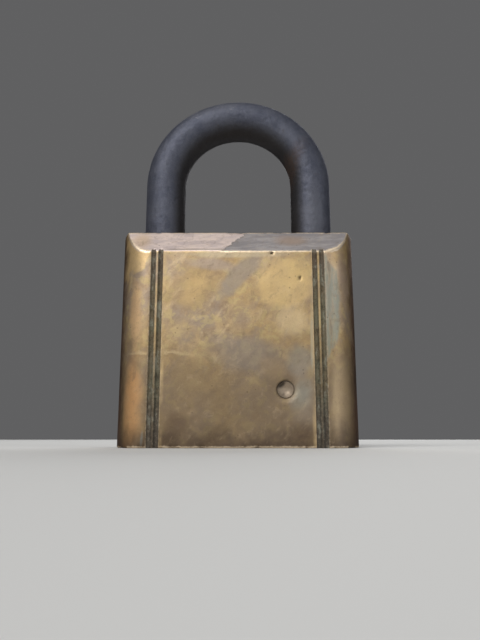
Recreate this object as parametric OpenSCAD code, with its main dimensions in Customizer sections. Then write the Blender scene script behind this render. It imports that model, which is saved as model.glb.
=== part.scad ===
// Brass padlock with a hardened steel shackle, a pin tumbler key cylinder and double ball locking.
// Millimetres. The origin is the middle of the underside, +Z is up and the front face looks along -Y.
// The lock is drawn shut, with its pin stacks lifted to the shear line.

/* [Body] */
// Width of the body, across the rounded sides
body_w = 44.45; // [42:0.05:60]
// Thickness of the body, front to back
body_t = 23.8; // [22.6:0.1:32]
// Height of the body
body_h = 39.2; // [38:0.1:55]
// How far each rounded side takes the flat faces in from the full width
side_round = 6.6; // [4:0.1:8]
// Radius of the crowned side, at the middle of the thickness
side_r = 19; // [16:0.5:40]
// How far each top bevel reaches in from its face
bevel_depth = 3.8; // [1:0.1:6]
// How far each top bevel reaches down its face
bevel_height = 4.9; // [1:0.1:6]

/* [Grooves] */
// Distance from the end of a flat face to its nearer groove
groove_inset = 0.25; // [0.1:0.05:3]
// Width of one groove
groove_w = 0.8; // [0.4:0.05:1.2]
// Width of the ridge between the two grooves of a pair
groove_ridge = 0.52; // [0.3:0.02:1.5]
// Depth of one groove
groove_depth = 0.36; // [0.2:0.02:0.5]

/* [Shackle] */
// Diameter of the shackle's steel
shackle_d = 7.94; // [6:0.02:9.6]
// Distance between the centre lines of the two legs
shackle_pitch = 29.2; // [27.5:0.1:31]
// Clear height under the bow, above the body
shackle_gap = 23.2; // [18:0.1:60]
// How far the shackle rises when the lock opens
shackle_lift = 12.5; // [12:0.1:14]
// Free space around each leg in its bore
leg_clearance = 0.13; // [0.05:0.01:0.3]
// Brass left under the heel bore
heel_floor = 3; // [2:0.1:5]
// Length of the shackle spring when the lock is shut
heel_spring_len = 5; // [4:0.1:7]
// Radius of the heel's neck
neck_r = 2.4; // [1.8:0.1:2.6]

/* [Ball locking] */
// Diameter of each locking ball
ball_d = 6.35; // [5:0.05:6.4]
// How far each ball bites into its leg
ball_bite = 1.1; // [0.8:0.05:1.2]
// How far each ball draws in when the lock opens
ball_draw = 3.9; // [3.8:0.05:4]
// Depth of the balls' centres below the top
ball_depth = 6; // [5.5:0.1:10]
// Up and down play of the shut shackle
notch_play = 1.8; // [1.7:0.1:3]
// Free space around a ball in its bore
ball_clearance = 0.075; // [0.05:0.005:0.15]

/* [Key cylinder] */
// Diameter of the cylinder shell
shell_d = 16.4; // [14:0.1:17]
// Height of the cylinder shell
shell_h = 24; // [23:0.1:25]
// Brass left between the shell and the back face
back_wall = 1.4; // [0.8:0.1:3]
// Diameter of the key plug
plug_d = 9.52; // [7.8:0.02:10]
// Radial running clearance of the key plug
plug_clearance = 0.04; // [0.02:0.01:0.08]
// Width of the keyway
keyway_w = 1.7; // [1.2:0.1:2]
// Turn of the key that opens the lock, in degrees
key_turn = 90; // [80:1:90]

/* [Pin stacks] */
// Diameter of the key pins and drivers
pin_d = 2.56; // [2:0.02:2.8]
// Height of the lowest pin stack above the underside
first_stack = 4.6; // [4:0.1:6]
// Distance between two pin stacks
stack_pitch = 3.4; // [3.2:0.1:3.6]
// Height of each key cut above the plug's axis, from the mouth inward
key_cuts = [0.5, 1.3, 0.8, 1.4, 1.0];
// Length left for each driver spring
spring_room = 2.25; // [2:0.05:2.6]

/* [Retaining pins] */
// Diameter of the pin that holds the cylinder shell
shell_pin_d = 3; // [2:0.1:3.4]
// Height of the shell's pin above the underside
shell_pin_z = 9.7; // [6:0.1:18]
// How far the shell's pin sits below the front face
shell_pin_sink = 0.35; // [0.1:0.05:0.8]
// Diameter of the pin that holds the shackle's heel
heel_pin_d = 2.5; // [2:0.1:2.6]
// Height of the heel's pin above the underside
heel_pin_z = 24.5; // [23.5:0.1:25]

/* [Hidden] */
STACKS = len(key_cuts);
$fn = 64;
e = 0.01;              // overlap that makes a cut go cleanly through
far = 100;             // longer than anything in the lock

BRASS = [0.62, 0.47, 0.27];
SHELL_BRASS = [0.66, 0.52, 0.30];
DARK_STEEL = [0.22, 0.23, 0.26];
BALL_STEEL = [0.55, 0.56, 0.58];
SPRING_STEEL = [0.42, 0.42, 0.44];
NICKEL = [0.68, 0.67, 0.62];

// Body section: a flat front and back, crowned sides and the shoulder arcs that blend the two
flat_x = body_w / 2 - side_round;
side_x = body_w / 2 - side_r;
shoulder_r = (pow(side_r, 2) - pow(flat_x - side_x, 2) - pow(body_t / 2, 2)) / (2 * side_r - body_t);
blend_angle = atan2(body_t / 2 - shoulder_r, flat_x - side_x);

// Shackle
leg_r = shackle_d / 2;
leg_x = shackle_pitch / 2;
leg_bore_r = leg_r + leg_clearance;
bow_z = body_h + shackle_gap - leg_x + leg_r;

// Balls, and the notches that they fill
ball_r = ball_d / 2;
ball_x = leg_x - leg_r + ball_bite - ball_r;
ball_z = body_h - ball_depth;
ball_bore_r = ball_r + ball_clearance;
notch_clearance = 0.1;
notch_r = ball_r + notch_clearance;
notch_half = sqrt(pow(notch_r, 2) - pow(leg_x - leg_r - ball_x, 2));
toe_lip = 1.6;         // steel left under the toe's notch
toe_room = 1;          // room under the toe's tip
toe_z = ball_z - notch_play - notch_half - toe_lip;
toe_bore_z = toe_z - toe_room;
tip_chamfer = 0.8;

// Cam: a disc that keeps the balls out, with two spirals that let them in as it turns
cam_gap = 0.35;        // between the disc and each ball, with the lock shut
cam_clearance = 0.1;   // between each spiral and its ball
cam_r = ball_x - ball_r - cam_gap;
cam_half = 2.9;        // half the thickness of the disc
cam_side_gap = 0.25;
cam_top_gap = 0.3;
cam_bore_r = cam_r + cam_side_gap;
cam_bore_top = ball_z + cam_half + cam_top_gap;
hub_r = min(cam_r - 0.5, 4.4);
spiral_step = 5;       // degrees between two points of a spiral
sweep_reach = 1.8;     // how far out the cut runs, as a multiple of the ball's own path

// Key cylinder
shell_r = shell_d / 2;
shell_y = body_t / 2 - back_wall - shell_r;
plug_r = plug_d / 2;
shell_end = 1.5;       // shell left above the plug
plug_top = shell_h - shell_end;
plug_bore_r = plug_r + plug_clearance;
tail_r = min(3.4, plug_r - 0.8);
tail_top = shell_h + 2;
clip_t = 0.7;
clip_gap = 0.05;       // between the clip and each side of its groove
clip_seat = 0.03;      // between the clip and the floor of its groove
clip_groove_r = tail_r - 0.7;
clip_r = min(4.9, cam_bore_r - 0.2);
tenon = [2.6, 4.4, 2]; // width, length and height
tenon_gap = 0.05;
hub_gap = 0.05;        // between the tail and the cam's hub
tenon_head = 0.2;      // room above the tenon
keyway_top = 3;
ward_reach = 0.45;     // how far each ward reaches past the keyway's side
ward_t = 0.9;
right_ward_y = -2.7;
left_ward_y = -1.3;

// Pin stacks, along +Y
pin_r = pin_d / 2;
chamber_clearance = 0.07;
chamber_r = pin_r + chamber_clearance;
chamber_floor = -0.6;
shear_y = plug_bore_r;
key_pin_drop = 0.15;   // how far a key pin's shoulder sits below the plug's round
key_pin_shoulder = sqrt(pow(plug_r, 2) - pow(pin_r, 2)) - key_pin_drop;
key_pin_crown_r = 0.7;
key_pin_top = sqrt(pow(plug_r, 2) - pow(key_pin_crown_r, 2)) - e;
key_pin_tip_r = 0.5;
cover_t = 0.6;
cover_w = 3.6;
cover_margin = 0.6;    // cover past the end chambers
cover_sink = 0.05;     // how far the cover sits below the shell's round
cover_y = shell_y + sqrt(pow(shell_r, 2) - pow(cover_w / 2, 2)) - cover_t - cover_sink;
driver_len = cover_y - shear_y - spring_room;
spring_wire_r = 0.14;
spring_mean_r = pin_r - 0.35;
function stack_z(i) = first_stack + (i - 1) * stack_pitch;

// Pins that hold the shell and the heel
shell_pin_r = shell_pin_d / 2;
shell_pin_x = shell_r;
shell_pin_end = shell_y + 4;
dish_r = 4;
dish_rim = 0.2;        // flat rim left around the dish
heel_pin_r = heel_pin_d / 2;
heel_pin_gap = 0.15;   // between the pin and the neck
heel_pin_x = -(leg_x - neck_r - heel_pin_gap - heel_pin_r);
heel_pin_end = -(leg_bore_r + 1);
neck_top_gap = 0.25;   // above the pin, with the lock shut
neck_foot_gap = 0.3;   // below the pin, with the shackle fully up
neck_top = heel_pin_z + heel_pin_r + neck_top_gap;
neck_bottom = heel_pin_z - heel_pin_r - neck_foot_gap - shackle_lift;
heel_z = heel_floor + heel_spring_len;
heel_wire_r = 0.35;
heel_coil_r = leg_r - 1;

// Cross bore, drilled from the toe side and closed by its plug
cross_bore_over = 1;   // bore past the heel ball
cross_bore_end = -(leg_x - leg_r + ball_bite + cross_bore_over);
cross_plug_x = leg_x + leg_bore_r + 1;

// ---- shapes that repeat ----

// A cylinder along +Y from y0 to y1
module rod_y(r, y0, y1) {
    translate([0, y0, 0]) rotate([-90, 0, 0]) cylinder(r = r, h = y1 - y0);
}

// A cylinder along +X from x0 to x1
module rod_x(r, x0, x1) {
    translate([x0, 0, 0]) rotate([0, 90, 0]) cylinder(r = r, h = x1 - x0);
}

// A round wire wound about +Z, its ends capped
module coil(mean_r, wire_r, length, turns, sides, steps) {
    n = turns * steps;
    rise = length - 2 * wire_r;
    points = [for (i = [0:n], k = [0:sides - 1])
        let (a = 360 * i / steps, b = 360 * k / sides, r = mean_r + wire_r * cos(b))
        [r * cos(a), r * sin(a), wire_r + rise * i / n + wire_r * sin(b)]];
    walls = [for (i = [0:n - 1], k = [0:sides - 1])
        let (m = (k + 1) % sides)
        [i * sides + k, i * sides + m, (i + 1) * sides + m, (i + 1) * sides + k]];
    start = [for (k = [sides - 1:-1:0]) k];
    end = [for (k = [0:sides - 1]) n * sides + k];
    polyhedron(points, concat([start], walls, [end]));
}

// ---- body ----

// One quarter blend: the shoulder arc between the flat face and the crowned side
module shoulder(sx, sy) {
    translate([sx * flat_x, sy * (body_t / 2 - shoulder_r)]) circle(r = shoulder_r);
}

module body_section() {
    square([2 * flat_x, body_t], center = true);
    for (sx = [-1, 1]) {
        for (sy = [-1, 1]) shoulder(sx, sy);
        intersection() {
            translate([sx * side_x, 0]) circle(r = side_r, $fn = 180);
            translate([sx * (flat_x + side_round) / 2, 0])
                square([flat_x + side_round, 2 * side_r * sin(blend_angle)], center = true);
        }
    }
}

// The wedge that a bevel takes off the front's top edge
module bevel_cut() {
    rotate([90, 0, 90])
        linear_extrude(height = far, center = true)
            polygon([
                [-body_t / 2 - e, body_h - bevel_height - e * bevel_height / bevel_depth],
                [-body_t / 2 + bevel_depth + e, body_h + e * bevel_height / bevel_depth],
                [-body_t / 2 - e, body_h + 1]]);
}

// One groove, as a round-bottomed channel of the stated width and depth
module groove(x) {
    r = (pow(groove_w / 2, 2) + pow(groove_depth, 2)) / (2 * groove_depth);
    translate([x, -body_t / 2 + groove_depth - r, -e]) cylinder(r = r, h = body_h + 2 * e);
}

module groove_pair(side) {
    outer = flat_x - groove_inset - groove_w / 2;
    for (x = [outer, outer - groove_w - groove_ridge]) groove(side * x);
}

// The body before it is bored; the back has the front's bevel and grooves, turned half round
module body_blank() {
    difference() {
        linear_extrude(height = body_h) body_section();
        for (turn = [0, 180]) rotate(turn) {
            bevel_cut();
            for (side = [-1, 1]) groove_pair(side);
        }
    }
}

module cross_bore() {
    translate([0, 0, ball_z]) rod_x(ball_bore_r, cross_bore_end, far);
}

module shell_pin_hole() {
    translate([shell_pin_x, 0, shell_pin_z]) rod_y(shell_pin_r, -far, shell_pin_end);
}

module heel_pin_hole() {
    translate([heel_pin_x, 0, heel_pin_z]) rod_y(heel_pin_r, heel_pin_end, far);
}

module body() {
    color(BRASS) difference() {
        body_blank();
        translate([-leg_x, 0, heel_floor]) cylinder(r = leg_bore_r, h = far);
        translate([leg_x, 0, toe_bore_z]) cylinder(r = leg_bore_r, h = far);
        translate([0, shell_y, -e]) cylinder(r = shell_r, h = shell_h + e);
        cylinder(r = cam_bore_r, h = cam_bore_top);
        cross_bore();
        shell_pin_hole();
        heel_pin_hole();
    }
}

module cross_bore_plug() {
    color(BRASS) intersection() {
        translate([0, 0, ball_z]) rod_x(ball_bore_r, cross_plug_x, far);
        body_blank();
    }
}

// ---- shackle and what holds it ----

// The slot in a leg's inner side that its ball fills
module ball_notch() {
    reach = leg_r + 1;
    for (drop = [0, notch_play])
        translate([ball_x, 0, ball_z - drop]) rod_y(notch_r, -reach, reach);
    translate([ball_x - notch_r, -reach, ball_z - notch_play])
        cube([2 * notch_r, 2 * reach, notch_play]);
}

// A leg from z up to the bow, with a chamfered end
module leg(z) {
    translate([0, 0, z]) {
        cylinder(r1 = leg_r - tip_chamfer, r2 = leg_r, h = tip_chamfer);
        translate([0, 0, tip_chamfer]) cylinder(r = leg_r, h = bow_z - z - tip_chamfer);
    }
}

// What the neck, above the heel, takes off its leg
module heel_neck_cut() {
    translate([-leg_x, 0, neck_bottom]) difference() {
        cylinder(r = leg_r + 1, h = neck_top - neck_bottom);
        translate([0, 0, -1]) cylinder(r = neck_r, h = neck_top - neck_bottom + 2);
    }
}

module shackle() {
    color(DARK_STEEL) difference() {
        union() {
            translate([leg_x, 0, 0]) leg(toe_z);
            translate([-leg_x, 0, 0]) leg(heel_z);
            translate([0, 0, bow_z]) rotate([90, 0, 0])
                rotate_extrude(angle = 180, $fn = 128) translate([leg_x, 0]) circle(r = leg_r);
        }
        ball_notch();
        mirror([1, 0, 0]) ball_notch();
        heel_neck_cut();
    }
}

module shackle_spring() {
    color(SPRING_STEEL) translate([-leg_x, 0, heel_floor + e])
        coil(mean_r = heel_coil_r, wire_r = heel_wire_r, length = heel_spring_len - 2 * e,
             turns = 5.5, sides = 6, steps = 18);
}

module heel_retaining_pin() {
    color(BRASS) intersection() {
        heel_pin_hole();
        translate([-far, heel_pin_end, 0]) cube([2 * far, body_t / 2 - heel_pin_end, far]);
    }
}

module ball(side) {
    color(BALL_STEEL) translate([side * ball_x, 0, ball_z]) sphere(r = ball_r);
}

// ---- key cylinder ----

module stack_holes(y0, y1) {
    for (i = [1:STACKS]) translate([0, 0, stack_z(i)]) rod_y(chamber_r, y0, y1);
}

module cover_slot(width, y0, y1) {
    margin = chamber_r + cover_margin;
    translate([-width / 2, y0, first_stack - margin])
        cube([width, y1 - y0, (STACKS - 1) * stack_pitch + 2 * margin]);
}

module cylinder_shell() {
    color(SHELL_BRASS) difference() {
        translate([0, shell_y, 0]) cylinder(r = shell_r, h = shell_h);
        translate([0, 0, -e]) cylinder(r = plug_bore_r, h = plug_top + e);
        cylinder(r = tail_r + plug_clearance, h = shell_h + 1);
        stack_holes(0, far);
        cover_slot(cover_w, cover_y, far);
        shell_pin_hole();
    }
}

module spring_cover() {
    color(BRASS) cover_slot(cover_w, cover_y, cover_y + cover_t);
}

// Dished outer end, as a driven and peened pin has
module shell_retaining_pin() {
    face_y = -body_t / 2 + shell_pin_sink;
    rim_r = shell_pin_r - dish_rim;
    color(BRASS) difference() {
        translate([shell_pin_x, 0, shell_pin_z]) rod_y(shell_pin_r, face_y, shell_pin_end);
        translate([shell_pin_x, face_y - sqrt(pow(dish_r, 2) - pow(rim_r, 2)), shell_pin_z])
            sphere(r = dish_r);
    }
}

// A keyway that is open at the front of the plug, with one ward on each side
module keyway() {
    ward_w = keyway_w / 2 + ward_reach;
    translate([-keyway_w / 2, -far, -e]) cube([keyway_w, far + keyway_top, plug_top + 2 * e]);
    translate([0, right_ward_y, -e]) cube([ward_w, ward_t, plug_top + 2 * e]);
    translate([-ward_w, left_ward_y, -e]) cube([ward_w, ward_t, plug_top + 2 * e]);
}

module key_plug() {
    color(SHELL_BRASS) difference() {
        union() {
            cylinder(r = plug_r, h = plug_top - plug_clearance);
            difference() {
                cylinder(r = tail_r, h = tail_top);
                translate([0, 0, shell_h]) difference() {
                    cylinder(r = tail_r + 1, h = clip_t + 2 * clip_gap);
                    cylinder(r = clip_groove_r, h = clip_t + 2 * clip_gap);
                }
            }
            translate([-tenon[0] / 2, -tenon[1] / 2, tail_top - e]) cube([tenon[0], tenon[1], tenon[2] + e]);
        }
        stack_holes(chamber_floor, far);
        keyway();
    }
}

// Spring ring in the tail's groove, open on one side
module plug_clip() {
    color(SPRING_STEEL) translate([0, 0, shell_h + clip_gap]) difference() {
        cylinder(r = clip_r, h = clip_t);
        translate([0, 0, -1]) cylinder(r = clip_groove_r + clip_seat, h = clip_t + 2);
        translate([-clip_groove_r, -far, -1]) cube([2 * clip_groove_r, far, clip_t + 2]);
    }
}

// Where a ball's centre is, seen from the cam, after the cam has turned by t degrees
function ball_reach(t) = ball_x - ball_draw * t / key_turn;
function ball_path(t) = ball_reach(t) * [cos(t), -sin(t)];

// The inner side of the ball there: the path's point moved inward, square to the path
function spiral_point(t) =
    let (slope = -ball_draw / key_turn * 180 / PI,
         reach = ball_reach(t),
         run = norm([slope, reach]),
         inward = [-reach * cos(t) - slope * sin(t), reach * sin(t) - slope * cos(t)] / run)
    ball_path(t) + (ball_r + cam_clearance) * inward;

// What one ball sweeps out of the cam during the key's turn
module ball_sweep() {
    h = 2 * (ball_r + cam_clearance);
    turns = [0:spiral_step:key_turn];
    back = [key_turn:-spiral_step:0];
    linear_extrude(height = h, center = true)
        polygon(concat([for (t = turns) spiral_point(t)], [for (t = back) sweep_reach * ball_path(t)]));
    for (t = [0, key_turn])
        translate(concat(ball_path(t), 0)) cylinder(r = ball_r + cam_clearance, h = h, center = true);
}

module cam() {
    hub_z = tail_top + hub_gap;
    color(SPRING_STEEL) difference() {
        union() {
            translate([0, 0, hub_z]) cylinder(r = hub_r, h = ball_z - cam_half - hub_z);
            translate([0, 0, ball_z]) cylinder(r = cam_r, h = 2 * cam_half, center = true);
        }
        translate([0, 0, ball_z])
            for (turn = [0, 180]) rotate(turn) ball_sweep();
        translate([-tenon[0] / 2 - tenon_gap, -tenon[1] / 2 - tenon_gap, 0])
            cube([tenon[0] + 2 * tenon_gap, tenon[1] + 2 * tenon_gap, tail_top + tenon[2] + tenon_head]);
    }
}

// ---- pin stacks ----

// Key pin: a conical tip that a key would lift, and a low crown under the shear line
module key_pin(i) {
    tip = key_cuts[i - 1];
    tip_len = pin_r - key_pin_tip_r;
    color(BRASS) translate([0, 0, stack_z(i)]) rotate([-90, 0, 0]) {
        translate([0, 0, tip]) cylinder(r1 = key_pin_tip_r, r2 = pin_r, h = tip_len);
        translate([0, 0, tip + tip_len]) cylinder(r = pin_r, h = key_pin_shoulder - tip - tip_len);
        translate([0, 0, key_pin_shoulder])
            cylinder(r1 = pin_r, r2 = key_pin_crown_r, h = key_pin_top - key_pin_shoulder);
    }
}

module driver_pin(i) {
    color(NICKEL) translate([0, 0, stack_z(i)]) rod_y(pin_r, shear_y, shear_y + driver_len);
}

module driver_spring(i) {
    color(SPRING_STEEL) translate([0, shear_y + driver_len + e, stack_z(i)]) rotate([-90, 0, 0])
        coil(mean_r = spring_mean_r, wire_r = spring_wire_r, length = spring_room - 2 * e,
             turns = 4.5, sides = 5, steps = 12);
}

// ---- the lock ----

body();
shackle();
shackle_spring();
heel_retaining_pin();
ball(1);  // toe_ball
ball(-1);  // heel_ball
cross_bore_plug();
cylinder_shell();
shell_retaining_pin();
spring_cover();
key_plug();
plug_clip();
cam();
for (i = [1:STACKS]) {
    key_pin(i);
    driver_pin(i);
    driver_spring(i);
}
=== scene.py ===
import math

import bmesh
import bpy
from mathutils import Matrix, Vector, noise


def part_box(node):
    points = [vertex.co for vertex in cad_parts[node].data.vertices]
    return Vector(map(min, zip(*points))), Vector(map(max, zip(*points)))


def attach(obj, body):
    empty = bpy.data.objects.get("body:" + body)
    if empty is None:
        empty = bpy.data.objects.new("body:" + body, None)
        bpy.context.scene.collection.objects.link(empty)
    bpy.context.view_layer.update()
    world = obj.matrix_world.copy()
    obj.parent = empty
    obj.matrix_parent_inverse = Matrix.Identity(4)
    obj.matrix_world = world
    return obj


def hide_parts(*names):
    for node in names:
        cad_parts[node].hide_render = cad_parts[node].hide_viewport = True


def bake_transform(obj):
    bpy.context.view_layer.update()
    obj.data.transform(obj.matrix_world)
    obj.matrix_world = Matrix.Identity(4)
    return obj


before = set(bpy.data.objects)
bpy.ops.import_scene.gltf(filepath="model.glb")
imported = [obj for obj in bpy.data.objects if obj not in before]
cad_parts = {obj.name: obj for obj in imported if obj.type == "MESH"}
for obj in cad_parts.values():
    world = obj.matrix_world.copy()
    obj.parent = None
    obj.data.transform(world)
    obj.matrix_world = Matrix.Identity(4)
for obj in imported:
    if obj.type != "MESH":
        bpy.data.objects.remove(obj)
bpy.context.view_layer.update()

MM = 0.001

# ---- sizes, in millimetres


def box_mm(node):
    """The corners of a CAD node's box."""
    low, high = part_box(node)
    return low / MM, high / MM


body_low, body_high = box_mm("body")
shackle_low, shackle_high = box_mm("shackle")
shell_low, shell_high = box_mm("cylinder_shell")
pin_low, pin_high = box_mm("shell_retaining_pin")
heel_pin_low, heel_pin_high = box_mm("heel_retaining_pin")
ball_low, ball_high = box_mm("toe_ball")
spring_low, spring_high = box_mm("shackle_spring")
plug_low, plug_high = box_mm("cross_bore_plug")
cam_low, cam_high = box_mm("cam")

# Clearances of the CAD model that its boxes don't show
LEG_CLEARANCE = 0.13
NOTCH_CLEARANCE = 0.1
TOE_BORE_PLAY = 1.0
CAM_SIDE_GAP = 0.25
CAM_TOP_GAP = 0.3
NECK_PLAY_ABOVE = 0.25
NECK_PLAY_BELOW = 0.3

# Body: the sides are wide arcs about SIDE_X, joined to the flat faces by arcs of radius SHOULDER_R
WIDTH = body_high.x - body_low.x
DEPTH = body_high.y - body_low.y
HEIGHT = body_high.z
SIDE_ROUND = 6.6
SIDE_R = 19.0
BEVEL_DEPTH = 3.8
BEVEL_HEIGHT = 4.9
FLAT_X = WIDTH / 2 - SIDE_ROUND
BEVEL_Z = HEIGHT - BEVEL_HEIGHT
SIDE_X = WIDTH / 2 - SIDE_R
SHOULDER_R = (SIDE_R ** 2 - (FLAT_X - SIDE_X) ** 2 - (DEPTH / 2) ** 2) / (2 * SIDE_R - DEPTH)

# Grooves: two on each side of the front and of the back
GROOVE_W = 0.8
GROOVE_DEPTH = 0.36
GROOVE_RIDGE = 0.52
GROOVE_INSET = 0.25
GROOVE_OUTER = FLAT_X - GROOVE_INSET - GROOVE_W / 2
GROOVE_INNER = GROOVE_OUTER - GROOVE_W - GROOVE_RIDGE
GROOVE_ARC_R = ((GROOVE_W / 2) ** 2 + GROOVE_DEPTH ** 2) / (2 * GROOVE_DEPTH)

# Shackle
LEG_R = (shackle_high.y - shackle_low.y) / 2
LEG_X = shackle_high.x - LEG_R
BOW_Z = shackle_high.z - LEG_X - LEG_R
HEEL_Z = shackle_low.z
LEG_BORE_R = LEG_R + LEG_CLEARANCE
HEEL_FLOOR = spring_low.z
TIP_CHAMFER = 0.8

# Balls and their notches
BALL_R = (ball_high.z - ball_low.z) / 2
BALL_X = (ball_low.x + ball_high.x) / 2
BALL_Z = (ball_low.z + ball_high.z) / 2
BALL_BORE_R = (plug_high.z - plug_low.z) / 2
NOTCH_R = BALL_R + NOTCH_CLEARANCE
NOTCH_PLAY = 1.8
TOE_LIP = 1.6
TOE_Z = BALL_Z - NOTCH_PLAY - math.sqrt(NOTCH_R ** 2 - (LEG_X - LEG_R - BALL_X) ** 2) - TOE_LIP
TOE_BORE_Z = TOE_Z - TOE_BORE_PLAY

# Heel neck
NECK_R = 2.4
HEEL_PIN_R = (heel_pin_high.x - heel_pin_low.x) / 2
HEEL_PIN_X = (heel_pin_low.x + heel_pin_high.x) / 2
HEEL_PIN_Z = (heel_pin_low.z + heel_pin_high.z) / 2
LIFT = 12.5
NECK_TOP = HEEL_PIN_Z + HEEL_PIN_R + NECK_PLAY_ABOVE
NECK_BOTTOM = HEEL_PIN_Z - HEEL_PIN_R - NECK_PLAY_BELOW - LIFT

# Key cylinder, and the pin that holds it
SHELL_R = (shell_high.x - shell_low.x) / 2
SHELL_Y = (shell_low.y + shell_high.y) / 2
CAM_BORE_R = (cam_high.x - cam_low.x) / 2 + CAM_SIDE_GAP
CAM_BORE_TOP = cam_high.z + CAM_TOP_GAP
PIN_R = (pin_high.x - pin_low.x) / 2
PIN_X = (pin_low.x + pin_high.x) / 2
PIN_Z = (pin_low.z + pin_high.z) / 2
BACK_PIN_SINK = 0.22


# ---- helpers


def smoothstep(low, high, value):
    """0 up to low, 1 from high on, and smooth between them."""
    t = min(max((value - low) / (high - low), 0.0), 1.0)
    return t * t * (3 - 2 * t)


def noise_at(x, y, z, seed):
    """Smooth noise from about -1 to 1; each seed gives another one."""
    return noise.noise(Vector((x + seed, y - 1.7 * seed, z + 0.6 * seed)))


def spread(low, high, step):
    """Evenly spaced values from low up to high, both ends in, about a step apart."""
    assert high > low, "spread goes upward; spread_down goes the other way"
    count = max(1, round((high - low) / step))
    return [low + (high - low) * i / count for i in range(count + 1)]


def spread_down(high, low, step):
    """The same from high down to low."""
    return [-v for v in spread(-high, -low, step)]


def join_runs(*runs):
    """Runs of rising values, joined without their shared ends twice."""
    values = []
    for run in runs:
        values += run[1:] if values and abs(values[-1] - run[0]) < 1e-9 else run
    return values


def add_to_scene(name, data):
    obj = bpy.data.objects.new(name, data)
    bpy.context.scene.collection.objects.link(obj)
    return obj


def new_object(name, vertices, faces):
    """A mesh object from points in millimetres."""
    mesh = bpy.data.meshes.new(name)
    mesh.from_pydata([tuple(c * MM for c in v) for v in vertices], [], faces)
    mesh.update()
    return add_to_scene(name, mesh)


def ring_angles(sides):
    return [2 * math.pi * k / sides for k in range(sides)]


def tube_faces(rings, sides):
    """Walls between neighbouring rings of points, and a cap on each end."""
    faces = []
    for r in range(rings - 1):
        for k in range(sides):
            m = (k + 1) % sides
            faces.append((r * sides + k, r * sides + m, (r + 1) * sides + m, (r + 1) * sides + k))
    faces.append(tuple(reversed(range(sides))))
    faces.append(tuple(range((rings - 1) * sides, rings * sides)))
    return faces


def shade(obj, sharp_deg=38):
    """Smooth faces, with the edges sharper than this left sharp."""
    bm = bmesh.new()
    bm.from_mesh(obj.data)
    bmesh.ops.recalc_face_normals(bm, faces=bm.faces)
    for face in bm.faces:
        face.smooth = True
    for edge in bm.edges:
        edge.smooth = len(edge.link_faces) == 2 and edge.calc_face_angle(0) < math.radians(sharp_deg)
    bm.to_mesh(obj.data)
    bm.free()


def rod(name, radius, start, end, sides=72):
    """A closed cylinder between two points."""
    start, end = Vector(start), Vector(end)
    along = (end - start).normalized()
    across = along.orthogonal().normalized()
    other = along.cross(across)
    ring = [radius * (math.cos(a) * across + math.sin(a) * other) for a in ring_angles(sides)]
    points = [start + r for r in ring] + [end + r for r in ring]
    return new_object(name, points, tube_faces(2, sides))


def block(name, low, high):
    """A box between two corners."""
    corners = [(x, y, z) for x in (low[0], high[0]) for y in (low[1], high[1]) for z in (low[2], high[2])]
    faces = [(0, 1, 3, 2), (4, 6, 7, 5), (0, 4, 5, 1), (2, 3, 7, 6), (0, 2, 6, 4), (1, 5, 7, 3)]
    return new_object(name, corners, faces)


def cut(obj, cutter):
    """Takes the cutter's solid out of the object."""
    step = obj.modifiers.new("cut", "BOOLEAN")
    step.operation = "DIFFERENCE"
    step.solver = "EXACT"
    step.object = cutter
    graph = bpy.context.evaluated_depsgraph_get()
    mesh = bpy.data.meshes.new_from_object(obj.evaluated_get(graph))
    obj.modifiers.clear()
    old = obj.data
    obj.data = mesh
    bpy.data.meshes.remove(old)
    bpy.data.objects.remove(cutter)


def clean(obj):
    """Welds doubled points and drops the loose bits that cuts may leave."""
    bm = bmesh.new()
    bm.from_mesh(obj.data)
    bmesh.ops.remove_doubles(bm, verts=bm.verts, dist=2e-7)
    bmesh.ops.dissolve_degenerate(bm, dist=2e-7, edges=bm.edges)
    loose = [v for v in bm.verts if not v.link_faces]
    bmesh.ops.delete(bm, geom=loose, context="VERTS")
    bm.to_mesh(obj.data)
    bm.free()


def set_mask(obj, name, rule):
    """A point attribute on the mesh, from a rule of the point's place in millimetres."""
    layer = obj.data.attributes.new(name, "FLOAT", "POINT")
    layer.data.foreach_set("value", [rule(v.co / MM) for v in obj.data.vertices])


# ---- node helpers


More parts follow.
